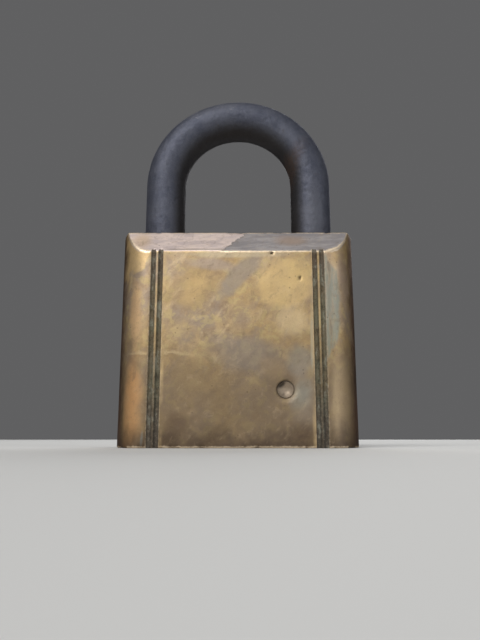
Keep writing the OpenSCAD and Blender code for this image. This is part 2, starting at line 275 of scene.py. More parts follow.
class Shading:
    """A node material with short calls for what these finishes repeat."""

    def __init__(self, name):
        self.material = bpy.data.materials.new(name)
        self.material.use_nodes = True
        self.tree = self.material.node_tree
        self.shader = self.tree.nodes["Principled BSDF"]
        place = self.node("TexCoord", {}).outputs["Object"]
        self.mm = self.node("VectorMath", {0: place, "Scale": 1 / MM}, operation="SCALE").outputs["Vector"]

    def link(self, value, socket):
        """Links an output to a socket, or sets the socket to a number, a vector or an opaque colour."""
        if isinstance(value, bpy.types.NodeSocket):
            self.tree.links.new(value, socket)
        elif socket.type == "RGBA":
            socket.default_value = (*value, 1)
        else:
            socket.default_value = value

    def node(self, kind, inputs, **settings):
        """A new node with these settings, and with its inputs linked or set."""
        node = self.tree.nodes.new("ShaderNode" + kind)
        for name, value in settings.items():
            setattr(node, name, value)
        for name, value in inputs.items():
            self.link(value, node.inputs[name])
        return node

    def noise(self, scale, detail=3.0, roughness=0.55, distortion=0.0, stretch=(1, 1, 1), turn=(0, 0, 0)):
        """Noise from 0 to 1 with this many waves per millimetre, drawn out and then turned."""
        angles = [math.radians(a) for a in turn]
        where = self.node(
            "Mapping", {"Vector": self.mm, "Rotation": angles, "Scale": stretch}, vector_type="TEXTURE")
        inputs = {"Vector": where.outputs["Vector"], "Scale": scale, "Detail": detail,
                  "Roughness": roughness, "Distortion": distortion}
        return self.node("TexNoise", inputs).outputs["Fac"]

    def cells(self, scale):
        """Distance to the middle of the nearest of many scattered cells."""
        return self.node("TexVoronoi", {"Vector": self.mm, "Scale": scale}).outputs["Distance"]

    def mask(self, value, low, high, top=1.0):
        """A smooth step from 0 at low to top at high; low may be the larger."""
        start, end = (0.0, top) if low <= high else (top, 0.0)
        inputs = {"Value": value, "From Min": min(low, high), "From Max": max(low, high),
                  "To Min": start, "To Max": end}
        return self.node("MapRange", inputs, interpolation_type="SMOOTHSTEP").outputs["Result"]

    def maths(self, operation, a, b=0.0):
        return self.node("Math", {0: a, 1: b}, operation=operation).outputs["Value"]

    def plus(self, a, b):
        return self.maths("ADD", a, b)

    def minus(self, a, b):
        return self.maths("SUBTRACT", a, b)

    def times(self, *values):
        result = values[0]
        for value in values[1:]:
            result = self.maths("MULTIPLY", result, value)
        return result

    def axis(self, name):
        """The place along one of the frame's axes, in millimetres."""
        return self.node("SeparateXYZ", {"Vector": self.mm}).outputs[name]

    def attribute(self, name):
        return self.node("Attribute", {}, attribute_name=name).outputs["Fac"]

    def patch(self, centre, radii, turn, soft=0.6, wobble=0.35):
        """A soft ellipsoid with an uneven rim, 1 inside; turn is about the Y axis, in degrees."""
        bend = self.node("TexNoise", {"Vector": self.mm, "Scale": 0.25, "Detail": 4.0}).outputs["Fac"]
        angles = (0, math.radians(turn), 0)
        inputs = {"Vector": self.mm, "Location": centre, "Rotation": angles, "Scale": radii}
        where = self.node("Mapping", inputs, vector_type="TEXTURE")
        reach = self.node("VectorMath", {0: where.outputs["Vector"]}, operation="LENGTH").outputs["Value"]
        ragged = self.times(self.minus(bend, 0.5), 2 * wobble)
        return self.mask(self.plus(reach, ragged), 1.0, 1.0 - soft)

    def mix(self, amount, a, b):
        """Colour a where amount is 0, and b where it is 1."""
        return self.node("Mix", {"Factor": amount, "A": a, "B": b}, data_type="RGBA").outputs["Result"]

    def bump(self, height, depth_mm, strength, before=None):
        """A relief this deep, on top of the one before it."""
        inputs = {"Strength": strength, "Distance": depth_mm * MM, "Height": height}
        if before is not None:
            inputs["Normal"] = before
        return self.node("Bump", inputs).outputs["Normal"]

    def finish(self, colour, roughness, metallic, normal=None):
        """Fills in the shader and returns the material."""
        inputs = {"Base Color": colour, "Roughness": roughness, "Metallic": metallic}
        if normal is not None:
            inputs["Normal"] = normal
        for name, value in inputs.items():
            self.link(value, self.shader.inputs[name])
        return self.material


# ---- body


def shoulder_arc(sign_x):
    """The quarter of the section that runs from the flat front round to the middle of one side."""
    blend = math.atan2(DEPTH / 2 - SHOULDER_R, FLAT_X - SIDE_X)
    points = []
    shoulder_y = DEPTH / 2 - SHOULDER_R
    for a in spread_down(math.pi / 2, blend, 0.3 / SHOULDER_R)[1:]:
        points.append((FLAT_X + SHOULDER_R * math.cos(a), shoulder_y + SHOULDER_R * math.sin(a)))
    for a in spread_down(blend, 0.0, 0.42 / SIDE_R)[1:]:
        points.append((SIDE_X + SIDE_R * math.cos(a), SIDE_R * math.sin(a)))
    return [(sign_x * x, -y) for x, y in points]


def groove_cut(x):
    """Depth of the grooves at this place across a flat face."""
    for middle in (GROOVE_INNER, GROOVE_OUTER):
        off = abs(abs(x) - middle)
        if off < GROOVE_W / 2:
            return math.sqrt(GROOVE_ARC_R ** 2 - off ** 2) - GROOVE_ARC_R + GROOVE_DEPTH
    return 0.0


def body_section():
    """The body's outline from above, as points that run once round it, front first."""
    edge = GROOVE_INNER - GROOVE_W / 2 - 0.3
    half = join_runs(spread(0, edge, 0.27), spread(edge, FLAT_X, 0.09))
    front = [(-x, -DEPTH / 2) for x in reversed(half[1:])] + [(x, -DEPTH / 2) for x in half]
    right = shoulder_arc(1)
    right_back = [(x, -y) for x, y in reversed(right[:-1])]
    back = [(-x, DEPTH / 2) for x, _ in front]
    left_back = [(-x, y) for x, y in reversed(right_back)]
    left = [(-x, y) for x, y in reversed(right)]
    return front + right + right_back + back + left_back + left


def bevel_y(z, lean=0.0):
    """Distance of the bevel from the middle plane at height z."""
    return DEPTH / 2 - (z - BEVEL_Z + lean) * BEVEL_DEPTH / BEVEL_HEIGHT


def soft_max(a, b, reach):
    """The larger of two values, with the corner between them rounded."""
    gap = abs(a - b)
    return max(a, b) + (max(reach - gap, 0.0) ** 2) / (4 * reach)


# Wear of the flat faces: waves per millimetre across and up, depth in millimetres and seed
FACE_WEAR = [(0.11, 0.09, 0.16, 3.1), (0.32, 0.28, 0.05, 11.0), (0.9, 0.8, 0.018, 23.0)]


def worn_depth(x, z, face):
    """How far one flat face is worn in, in millimetres."""
    return sum(depth * (0.5 + 0.5 * noise_at(x * across, z * up, face, seed))
               for across, up, depth, seed in FACE_WEAR)


# Small knocks on the front: place across and up, radius and depth. The first two are deep pits
FRONT_KNOCKS = [
    (6.1, 34.0, 0.36, 0.34),
    (11.0, 29.4, 0.4, 0.18),
    (-12.1, 24.8, 0.7, 0.05),
    (-3.5, 18.6, 0.9, 0.05),
    (2.6, 12.0, 0.7, 0.05),
    (-7.9, 6.4, 0.6, 0.07),
    (11.6, 7.9, 0.5, 0.08),
    (5.2, 22.5, 0.5, 0.05),
]

# The dished hollow round the front pin
PIN_HOLLOW_DEPTH = 0.16
PIN_HOLLOW_WIDTH = 0.9


def front_knocks(x, z):
    """Depth of the knocks here, with the dished hollow round the front pin."""
    total = 0.0
    for cx, cz, radius, depth in FRONT_KNOCKS:
        off = math.hypot(x - cx, z - cz) / radius
        total += depth * math.exp(-2.0 * off * off)
    rim = math.hypot(x - PIN_X, z - PIN_Z)
    return total + PIN_HOLLOW_DEPTH * (1 - smoothstep(PIN_R, PIN_R + PIN_HOLLOW_WIDTH, rim))


def edge_radius(x, y, top):
    """Worn radius of the top or bottom edge: small, with nicks."""
    seed = 31.0 if top else 47.0
    base = 0.2 + 0.1 * noise_at(x * 0.35, y * 0.35, 0, seed)
    nick = max(0.0, noise_at(x * 0.75, y * 0.75, 0, seed + 5.0) - 0.12)
    chip = max(0.0, noise_at(x * 1.9, y * 1.9, 0, seed + 9.0) - 0.2)
    return max(0.08, base + (1.0 if top else 1.3) * nick + (0.5 if top else 0.7) * chip)


# Rows near the two rounded edges, from the edge, and rings on the flat ends, from the outline
TOP_ROWS = [0.0, 0.06, 0.14, 0.24, 0.36, 0.5, 0.66, 0.84]
BOTTOM_ROWS = [0.0, 0.05, 0.11, 0.18, 0.27, 0.38, 0.52, 0.7, 0.9]
CAP_INSETS = [0.35, 0.8, 1.5]


def inset(x, y, amount, half_y):
    """Moves a point of the outline towards the middle by about this amount."""
    return x * (1 - amount / (WIDTH / 2)), y * (1 - amount / half_y)


def side_push(x, y, z):
    """How far a rounded side is worn in, in millimetres."""
    return 0.05 * (0.5 + 0.5 * noise_at(x * 0.2, y * 0.2, z * 0.12, 7.0))


FILM_THICKNESS = 0.05
FILM_SLOPE = 0.95


def bevel_step(x, z, side):
    """The old film on the front bevel ends in a slanting edge; to the right of it the metal is lower."""
    if side > 0:
        return 0.0
    slant = x - FILM_SLOPE * (z - BEVEL_Z) + 3.0 + 0.5 * noise_at(x * 0.9, 0, z * 0.9, 61.0)
    return FILM_THICKNESS * smoothstep(-0.12, 0.12, slant)


def body_point(x, y, z):
    """Where a point of the plain outline lies on the worn body, at height z."""
    on_front = abs(y) > DEPTH / 2 - 1e-6
    side = 1.0 if y > 0 else -1.0
    reach = abs(y)
    if on_front:
        depth = worn_depth(x, z, side)
        if side < 0:
            depth += front_knocks(x, z)
        edge_fade = smoothstep(0.0, 0.7, FLAT_X - abs(x))
        reach -= depth * (0.35 + 0.65 * edge_fade) + groove_cut(x)
    else:
        length = math.hypot(x, y)
        push = side_push(x, y, z)
        x -= push * x / length
        reach -= push * reach / length
    lean = 0.1 * noise_at(x * 0.13, side, 0, 13.0)
    bevel = bevel_y(z, lean)
    bevel -= 0.05 + 0.07 * noise_at(x * 0.25, side * 2, z * 0.3, 17.0) + bevel_step(x, z, side)
    if reach > 3:  # the middle of a side has no bevel
        reach = -soft_max(-reach, -bevel, 0.22)
    half_y = DEPTH / 2 if z < HEIGHT / 2 else DEPTH / 2 - BEVEL_DEPTH
    top = z > HEIGHT / 2
    radius = edge_radius(x, side * reach, top)
    from_edge = HEIGHT - z if top else z
    if from_edge < radius:
        amount = radius - math.sqrt(radius ** 2 - (radius - from_edge) ** 2)
        x, reach = inset(x, reach, amount, half_y)
    return x, side * reach, z


def body_mesh():
    """Rings of the section from the underside up, with smaller rings inside both ends."""
    section = body_section()
    high_rows = [HEIGHT - z for z in reversed(TOP_ROWS)]
    rows = join_runs(
        BOTTOM_ROWS, spread(BOTTOM_ROWS[-1], BEVEL_Z - 0.8, 0.36),
        spread(BEVEL_Z - 0.8, BEVEL_Z + 0.8, 0.13), spread(BEVEL_Z + 0.8, high_rows[0], 0.2), high_rows)
    rings = [[body_point(x, y, z) for x, y in section] for z in rows]
    for amount in CAP_INSETS:
        low = [inset(x, y, amount, DEPTH / 2) for x, y, _ in rings[0]]
        high = [inset(x, y, amount, DEPTH / 2 - BEVEL_DEPTH) for x, y, _ in rings[-1]]
        rings.insert(0, [(x, y, 0.0) for x, y in low])
        rings.append([(x, y, HEIGHT) for x, y in high])
    points = [p for ring in rings for p in ring]
    return new_object("padlock_body", points, tube_faces(len(rings), len(section)))


def bore_body(obj):
    """Cuts the real bores and holes; far is a place well outside the body."""
    far = 2 * WIDTH
    cut(obj, rod("heel_bore", LEG_BORE_R, (-LEG_X, 0, HEEL_FLOOR), (-LEG_X, 0, far), 96))
    cut(obj, rod("toe_bore", LEG_BORE_R, (LEG_X, 0, TOE_BORE_Z), (LEG_X, 0, far), 96))
    cut(obj, rod("shell_bore", SHELL_R, (0, SHELL_Y, -1), (0, SHELL_Y, shell_high.z), 128))
    cut(obj, rod("cam_bore", CAM_BORE_R, (0, 0, shell_high.z - 0.5), (0, 0, CAM_BORE_TOP), 96))
    cut(obj, rod("cross_bore", BALL_BORE_R, (-LEG_X + 1, 0, BALL_Z), (far, 0, BALL_Z), 96))
    cut(obj, rod("pin_hole", PIN_R, (PIN_X, -far, PIN_Z), (PIN_X, pin_high.y, PIN_Z), 64))
    cut(obj, rod("heel_pin_hole", HEEL_PIN_R, (HEEL_PIN_X, heel_pin_low.y, HEEL_PIN_Z),
                 (HEEL_PIN_X, far, HEEL_PIN_Z), 64))


def bevel_gap(p):
    """Distance from the line where the bevel meets the front or the rounded side, or a large number."""
    if p.z < BEVEL_Z - 0.6 or abs(p.y) < DEPTH / 2 - BEVEL_DEPTH - 0.3:
        return WIDTH
    bevel = bevel_y(p.z)
    if abs(p.x) < FLAT_X:
        return abs(p.z - BEVEL_Z)
    off = abs(p.x) - FLAT_X
    if off < SHOULDER_R * 0.8:
        outline = DEPTH / 2 - SHOULDER_R + math.sqrt(max(SHOULDER_R ** 2 - off ** 2, 0.0))
    else:
        outline = math.sqrt(max(SIDE_R ** 2 - (abs(p.x) - SIDE_X) ** 2, 0.0))
    return abs(outline - bevel) * 0.8


def groove_edge(p):
    """1 on the outer rims of a pair of grooves, and less along the top of the ridge between them."""
    if abs(p.y) < DEPTH / 2 - 0.5 or abs(p.x) > FLAT_X + 0.2:
        return 0.0
    if GROOVE_INNER < abs(p.x) < GROOVE_OUTER:
        return 0.75 * math.exp(-((abs(p.x) - (GROOVE_INNER + GROOVE_OUTER) / 2) / 0.14) ** 2)
    off = min(abs(abs(abs(p.x) - middle) - GROOVE_W / 2) for middle in (GROOVE_INNER, GROOVE_OUTER))
    return math.exp(-(off / 0.22) ** 2)


def wear_and_highlight_rule(p):
    """1 on the rubbed edges, falling to 0 beside them, with a wider band of painted highlight along the
    bevel's corners with the rounded sides; the mouths of the bores are left out.
    """
    # Beside the rounded sides the band is wider: a painted highlight where the rounded corner would catch the
    # light
    bevel = math.exp(-(bevel_gap(p) / (0.24 if abs(p.x) < FLAT_X else 0.42)) ** 2)
    rim_top = math.exp(-((HEIGHT - p.z) / 0.42) ** 2) if abs(p.y) > 7.2 or abs(p.x) > 19 else 0.0
    rim_low = math.exp(-(p.z / 0.46) ** 2) if abs(p.y) > 10.6 or abs(p.x) > 20.2 else 0.0
    if p.z > HEIGHT - 0.01 or p.z < 0.01:
        rim_top *= 0.5
        rim_low *= 0.5
    return max(bevel, rim_top, rim_low, 0.72 * groove_edge(p))


def groove_rule(p):
    """1 at the bottom of a groove."""
    if abs(p.y) < DEPTH / 2 - 0.9 or p.z > BEVEL_Z + 0.5:
        return 0.0
    return smoothstep(0.02, 0.26, groove_cut(p.x))


def pit_and_pin_shadow_rule(p):
    """1 in the two deep pits on the front, and a ring of painted shadow round the front pin, heaviest at its
    upper left where the rim shades the hollow.
    """
    if p.y > 0:
        return 0.0
    pit_and_pin_shadow = max(1.0 - smoothstep(0.35, 1.0, math.hypot(p.x - x, p.z - z) / radius)
              for x, z, radius, depth in FRONT_KNOCKS if depth > 0.15)
    rim = math.hypot(p.x - PIN_X, p.z - PIN_Z) - PIN_R
    above = 0.5 + 0.5 * (p.z - PIN_Z + PIN_X - p.x) / (1.5 * PIN_R)
    return max(pit_and_pin_shadow, (1.0 - smoothstep(0.0, 0.3, rim)) * min(max(above, 0.05), 0.9))


def bevel_rule(p):
    """1 on the bevels."""
    if p.z < BEVEL_Z or p.z > HEIGHT - 0.05:
        return 0.0
    bevel = bevel_y(p.z)
    return 1.0 - smoothstep(0.1, 0.42, abs(abs(p.y) - bevel + 0.1))


# ---- shackle


def shackle_rows():
    """Rows along the bar from the toe's tip to the heel: centre, outward direction and radius."""
    rows = []
    for z in join_runs(spread(TOE_Z, TOE_Z + TIP_CHAMFER, 0.2), spread(TOE_Z + TIP_CHAMFER, BOW_Z, 0.3)):
        radius = LEG_R - max(0.0, TIP_CHAMFER - (z - TOE_Z))
        rows.append((Vector((LEG_X, 0, z)), Vector((1, 0, 0)), radius))
    for a in spread(0, math.pi, 0.3 / LEG_X)[1:]:
        out = Vector((math.cos(a), 0, math.sin(a)))
        rows.append((Vector((0, 0, BOW_Z)) + LEG_X * out, out, LEG_R))
    heel = [(z, LEG_R) for z in spread_down(BOW_Z, NECK_TOP, 0.3)[1:]]
    heel += [(z, NECK_R) for z in spread_down(NECK_TOP, NECK_BOTTOM, 0.6)]
    heel += [(z, LEG_R) for z in spread_down(NECK_BOTTOM, HEEL_Z + TIP_CHAMFER, 0.4)]
    heel += [(z, LEG_R - TIP_CHAMFER + (z - HEEL_Z))
             for z in spread_down(HEEL_Z + TIP_CHAMFER, HEEL_Z, 0.2)[1:]]
    rows += [(Vector((-LEG_X, 0, z)), Vector((-1, 0, 0)), radius) for z, radius in heel]
    return rows


def shackle_pit(p):
    """Depth of rust pits and forge marks on the bar, in millimetres."""
    coarse = max(0.0, noise_at(p.x * 0.55, p.y * 0.55, p.z * 0.55, 5.0) - 0.1)
    pits = max(0.0, noise_at(p.x * 1.6, p.y * 1.6, p.z * 1.6, 19.0) - 0.24)
    return 0.02 + 0.08 * coarse + 0.22 * pits


def shackle_mesh():
    """The bar, pitted only where it stands out of the body."""
    sides = 88
    points = []
    rows = shackle_rows()
    for centre, out, radius in rows:
        for a in ring_angles(sides):
            way = math.cos(a) * out + Vector((0, math.sin(a), 0))
            spot = centre + radius * way
            exposed = smoothstep(HEIGHT - 9, HEIGHT - 6, spot.z)
            points.append(spot - way * shackle_pit(spot) * exposed)
    return new_object("padlock_shackle", points, tube_faces(len(rows), sides))


def cut_notches(obj):
    """A notch for each ball, long enough for the play of the shackle."""
    for side in (1, -1):
        x = side * BALL_X
        reach = LEG_R + 1
        low = BALL_Z - NOTCH_PLAY
        for z in (BALL_Z, low):
            cut(obj, rod("notch", NOTCH_R, (x, -reach, z), (x, reach, z), 72))
        cut(obj, block("notch_slot", (x - NOTCH_R, -reach, low), (x + NOTCH_R, reach, BALL_Z)))


# ---- pins and springs


def lathe(name, profile, origin, along, roughen):
    """A turned piece; profile is (radius, distance along) from the middle of one end to the other's."""
    sides = 72
    origin, along = Vector(origin), Vector(along).normalized()
    across = Vector((0, 0, 1))
    other = along.cross(across)
    points = []
    for r, far in profile:
        for a in ring_angles(sides):
            spot = origin + along * far + r * (math.cos(a) * across + math.sin(a) * other)
            points.append(spot + along * abs(roughen * noise_at(spot.x * 1.3, spot.y, spot.z * 1.3, 41.0)))
    return new_object(name, points, tube_faces(len(profile), sides))


def peened_pin(name, radius, origin, along, length, dish_depth):
    """A driven pin whose outer end is peened into a dish."""
    rim = radius - 0.16
    stem_r = radius - 0.01
    middle = [(0.04, dish_depth)]
    middle += [(r, dish_depth * (1 - (r / rim) ** 2)) for r in spread(0.12, rim, 0.1)]
    edge = [(radius - 0.06, 0.05), (stem_r, 0.16)]
    stem = [(stem_r, far) for far in spread(1, length - 0.1, 2.5)] + [(radius - 0.12, length)]
    return lathe(name, middle + edge + stem, origin, along, roughen=0.07)


def flush_plug(name, radius, inner_x, z):
    """The plug in the crowned side: its outer face follows the side, just below it, with a bevelled rim."""
    def outer_x(y, sink):
        face = SIDE_X + math.sqrt(SIDE_R ** 2 - y ** 2)
        return face - side_push(face, y, z) - sink

    angles = ring_angles(96)
    stem = radius - 0.01
    rings = [(r, 0.02) for r in spread(0.1, radius - 0.22, 0.3)]
    rings += [(radius - 0.08, 0.05), (stem, 0.18)]
    points = []
    for r, sink in rings:
        points += [(outer_x(r * math.cos(a), sink), r * math.cos(a), z + r * math.sin(a)) for a in angles]
    points += [(inner_x, stem * math.cos(a), z + stem * math.sin(a)) for a in angles]
    return new_object(name, points, tube_faces(len(rings) + 1, len(angles)))


DRIVER_WIRE_R = 0.14


def coil(name, base, along, mean_r, wire_r, length, turns, sides=14, steps=40):
    """A round wire wound about a line, with its two ends closed down flat."""
    base, along = Vector(base), Vector(along).normalized()
    across = along.orthogonal().normalized()
    other = along.cross(across)
    total = int(turns * steps)
    flat_turns = 0.9  # closed down, at the two ends together
    points = []
    for i in range(total + 1):
        turn = i / steps
        share = min(max((turn - flat_turns / 2) / (turns - flat_turns), 0.0), 1.0)
        rise = wire_r + (length - 2 * wire_r) * share
        a = 2 * math.pi * turn
        out = math.cos(a) * across + math.sin(a) * other
        for b in ring_angles(sides):
            spot = base + out * (mean_r + wire_r * math.cos(b)) + along * (rise + wire_r * math.sin(b))
            points.append(spot)
    return new_object(name, points, tube_faces(total + 1, sides))


# ---- finishes


# Linear colours of the brass and what lies on it
OCHRE = (0.5, 0.352, 0.18)
GOLDEN = (0.62, 0.445, 0.225)
BROWN = (0.3, 0.205, 0.12)
MAUVE = (0.41, 0.318, 0.238)
UMBER_PAINTED_SHADE = (0.232, 0.17, 0.105)
# Painted shade: the dark browns of the crowned sides and of the foot
PAINTED_SIDE_SHADE = (0.06, 0.037, 0.026)
PAINTED_FOOT_SHADE = (0.08, 0.056, 0.044)
# Rubbed brass, made light enough to stand for the painted highlight on the bevel corners too
RUBBED_AND_HIGHLIGHT = (0.82, 0.67, 0.48)
CREAM = (0.74, 0.53, 0.27)
COPPER_AND_HIGHLIGHT = (0.74, 0.42, 0.19)
VERDIGRIS = (0.31, 0.335, 0.285)
PALE_SALT = (0.44, 0.48, 0.44)
SWEEP_PALE = (0.7, 0.54, 0.33)
SWEEP_DARK = (0.37, 0.295, 0.235)
MOTTLE_PALE = (0.6, 0.475, 0.235)
MOTTLE_DARK = (0.38, 0.265, 0.175)
ARC_RIM = (0.66, 0.515, 0.405)
ARC_DIRT = (0.245, 0.225, 0.175)
THREAD = (0.4, 0.43, 0.385)
BEVEL_DARK = (0.285, 0.275, 0.29)
BEVEL_PALE = (0.395, 0.378, 0.385)
FILM_PALE = (0.78, 0.655, 0.6)
FILM_DARK = (0.6, 0.51, 0.495)
FILM_SHADOW = (0.16, 0.135, 0.115)
FILM_LINE = (0.22, 0.185, 0.165)
TIDE = (0.72, 0.56, 0.33)
STRIP = (0.68, 0.5, 0.275)
DIRT_BROWN = (0.15, 0.125, 0.08)
DIRT_GREEN = (0.15, 0.148, 0.105)
DIRT_LOW = (0.085, 0.075, 0.068)
DIRT_HIGH = (0.105, 0.08, 0.066)
SPECK_PALE = (0.26, 0.225, 0.17)
SPECK_DARK = (0.05, 0.042, 0.034)
CRUMB = (0.29, 0.295, 0.24)
DIRT_DEEP = (0.055, 0.05, 0.038)
SMEAR_DARK = (0.23, 0.17, 0.115)
SMEAR_PALE = (0.74, 0.57, 0.36)
SPOT = (0.1, 0.07, 0.045)
GRAIN_DARK = (0.22, 0.16, 0.1)
PIT_AND_PIN_SHADOW_BLACK = (0.035, 0.024, 0.016)

# Linear colours of the shackle
STEEL_DARK = (0.078, 0.084, 0.111)
STEEL_PALE = (0.1, 0.106, 0.134)
STEEL_STREAK = (0.12, 0.126, 0.152)
STEEL_STAIN = (0.044, 0.046, 0.058)
STEEL_GLINT = (0.2, 0.205, 0.225)
STEEL_PORE = (0.035, 0.036, 0.044)
LEG_HIGHLIGHT_PAINT = (0.15, 0.155, 0.18)
BOW_INNER_SHADE = (0.038, 0.034, 0.03)
BOW_RUBBED = (0.17, 0.172, 0.188)
RUST = (0.09, 0.062, 0.05)
SCUFF = (0.3, 0.3, 0.31)
RUST_SPOT = (0.085, 0.06, 0.045)

# Centre and radii in millimetres, turn about Y in degrees, colour, strength and softness of the rim
BRASS_PATCHES = [
    ((-8.0, -12, 27.6), (5.6, 5, 6.4), 18, (0.44, 0.31, 0.16), 0.6, 0.6),
    ((8.2, -12, 28.2), (5.8, 5, 5.0), -30, (0.76, 0.55, 0.265), 0.75, 0.35),
    ((11.0, -12, 31.2), (3.4, 5, 3.0), 0, (0.72, 0.53, 0.25), 0.5, 0.7),
    ((-7.6, -12, 27.6), (2.6, 5, 4.4), 30, (0.68, 0.48, 0.225), 0.5, 0.7),
    ((0.2, -12, 29.8), (7.6, 5, 2.2), -47, (0.385, 0.32, 0.255), 0.8, 0.5),
    ((-4.6, -12, 31.9), (6.4, 5, 1.5), 8, (0.45, 0.36, 0.29), 0.7, 0.6),
    ((-1.0, -12, 33.7), (12.0, 5, 0.8), 0, (0.6, 0.5, 0.345), 0.65, 0.6),
    ((9.6, -12, 21.5), (4.4, 5, 3.8), -10, (0.74, 0.575, 0.345), 0.6, 0.7),
    ((-9.8, -12, 20.6), (2.9, 5, 2.6), 0, (0.5, 0.365, 0.205), 0.5, 0.7),
    ((1.2, -12, 15.8), (8.0, 5, 4.2), 12, (0.3, 0.255, 0.215), 0.6, 0.6),
    ((10.6, -12, 15.0), (3.0, 5, 3.8), 0, (0.3, 0.28, 0.245), 0.6, 0.6),
    ((11.4, -12, 8.6), (3.4, 5, 8.6), 0, (0.4, 0.335, 0.265), 0.45, 0.8),
    ((5.6, -12, 13.6), (3.2, 5, 2.4), 20, (0.4, 0.285, 0.165), 0.45, 0.7),
    ((-8.4, -12, 12.4), (4.4, 5, 4.2), 8, (0.33, 0.24, 0.14), 0.45, 0.6),
    ((11.0, -12, 9.0), (2.6, 5, 3.6), 30, (0.36, 0.36, 0.31), 0.55, 0.8),
    ((-10.2, -12, 3.6), (3.4, 5, 3.6), 0, (0.135, 0.092, 0.066), 0.6, 0.7),
    ((11.0, -12, 2.6), (2.8, 5, 2.4), 0, (0.15, 0.1, 0.07), 0.55, 0.7),
    ((-20.8, -11, 36.0), (5.6, 30, 6.6), 0, CREAM, 0.8, 0.1),
    ((-17.8, -10.5, 23), (1.6, 4.5, 7.6), 0, (0.74, 0.495, 0.27), 0.8, 0.6),
    # Copper down the left shoulder: the metal's tone, brightened as a painted highlight where the shoulder
    # faces the key light
    ((-18.0, -10.8, 7.4), (2.7, 3.6, 10.6), 0, COPPER_AND_HIGHLIGHT, 0.85, 0.8),
    ((-16.05, -12, 1.2), (0.32, 3, 1.9), 4, PALE_SALT, 0.6, 0.8),
    ((-13.9, -12, 1.6), (0.3, 3, 2.2), 2, PALE_SALT, 0.6, 0.8),
    ((16.6, -12, 7.0), (1.1, 3, 9.0), 0, (0.58, 0.44, 0.27), 0.6, 0.8),
    ((18.2, -10.4, 9.5), (1.9, 4.5, 8.0), 0, (0.5, 0.375, 0.225), 0.6, 0.6),
    ((18.9, -9.5, 30), (1.5, 5, 6.5), -6, (0.42, 0.315, 0.25), 0.6, 0.6),
    ((0, 12, 22), (9.0, 5, 8.0), 25, (0.64, 0.455, 0.215), 0.55, 0.6),
    ((-9, 12, 9), (6.0, 5, 6.0), -12, (0.295, 0.24, 0.185), 0.55, 0.6),
    ((11, 12, 31), (4.5, 5, 3.2), 10, (0.42, 0.355, 0.255), 0.6, 0.6),
    ((6, 12, 6), (7.0, 5, 3.6), 0, (0.15, 0.105, 0.075), 0.55, 0.7),
    ((-16.5, 12, 26), (3.0, 6, 9.0), 6, VERDIGRIS, 0.6, 0.15),
    ((22, 6.5, 17), (4.0, 5.5, 9.0), 0, (0.46, 0.325, 0.175), 0.6, 0.7),
    ((22, 5, 31), (4.0, 4.0, 5.0), 0, (0.34, 0.265, 0.2), 0.55, 0.7),
    ((-22, 6.5, 21), (4.0, 5.0, 10.0), 0, (0.48, 0.335, 0.175), 0.6, 0.7),
    ((-22, 3, 7), (4.0, 6.0, 5.0), 0, (0.2, 0.145, 0.1), 0.55, 0.7),
    ((2, 0, 39), (9.0, 6.0, 3.0), 0, (0.34, 0.255, 0.165), 0.6, 0.7),
]

# Brown stains on the front bevel: centre, radii and colour
BEVEL_STAINS = [
    ((9.6, -10, 37), (3.8, 5, 1.8), (0.4, 0.285, 0.205)),
    ((-17.5, -9, 36.6), (2.4, 5, 3.0), (0.56, 0.4, 0.24)),
]

# Centres of the pale scuffs on the bow
BOW_SCUFFS = [(-9.6, -3.6, 65.6), (8.2, -3.6, 66.6), (-1.0, -3.2, 67.2)]


def brass_ground(s, middle):
    """The metal under it all: ochre and mauve clouds, with painted shade making it darker and browner towards
    the foot.
    """
    broad = s.noise(0.085, 4, 0.55, 0.5)
    colour = s.mix(s.mask(broad, 0.38, 0.64), OCHRE, MAUVE)
    colour = s.mix(s.mask(middle, 0.46, 0.68, 0.5), colour, GOLDEN)
    sweep = s.noise(0.42, 5, 0.64, 0.9, (1, 1, 2.2), (0, 38, 0))
    colour = s.mix(s.mask(sweep, 0.52, 0.66, 0.45), colour, SWEEP_PALE)
    colour = s.mix(s.mask(sweep, 0.45, 0.34, 0.45), colour, SWEEP_DARK)
    mottle = s.noise(0.62, 4, 0.6, 0.4)
    colour = s.mix(s.mask(mottle, 0.52, 0.61, 0.5), colour, MOTTLE_PALE)
    colour = s.mix(s.mask(mottle, 0.45, 0.36, 0.5), colour, MOTTLE_DARK)
    # Painted shade: darker umber from the middle height down to the foot
    height = s.plus(s.axis("Z"), s.times(middle, 12.0))
    return s.mix(s.mask(height, 29.0, 15.0, 0.72), colour, UMBER_PAINTED_SHADE)


def brass_patches(s, colour):
    """Clouds of colour that belong to one place."""
    for centre, radii, turn, tint, amount, soft in BRASS_PATCHES:
        colour = s.mix(s.times(s.patch(centre, radii, turn, soft), amount), colour, tint)
    return colour


def brass_verdigris(s, colour):
    """A grey-green arc with a pale rim outside the right grooves, and a thread of it inside them."""
    outside = s.mask(s.axis("X"), GROOVE_OUTER - 0.1, GROOVE_OUTER + 0.5)
    outside = s.times(outside, s.mask(s.axis("Y"), 0.0, -4.0))
    rim = s.times(outside, s.patch((13.4, -12, 27.4), (6.3, 30, 11.6), 0, 0.5, wobble=0.2))
    colour = s.mix(s.times(rim, 0.55), colour, ARC_RIM)
    arc = s.times(outside, s.patch((12.6, -12, 24.4), (5.7, 30, 11.4), 0, 0.1, wobble=0.22))
    streak = s.noise(0.9, 5, 0.66, 0.5, (0.6, 1, 3.3))
    colour = s.mix(s.times(arc, s.plus(0.42, s.mask(streak, 0.38, 0.56, 0.38))), colour, VERDIGRIS)
    colour = s.mix(s.times(arc, s.mask(streak, 0.42, 0.34, 0.5)), colour, ARC_DIRT)
    thread = s.patch((GROOVE_INNER - 0.75, -12, 18.5), (0.42, 2, 8.0), 1, 0.8)
    return s.mix(s.times(thread, 0.65), colour, THREAD)


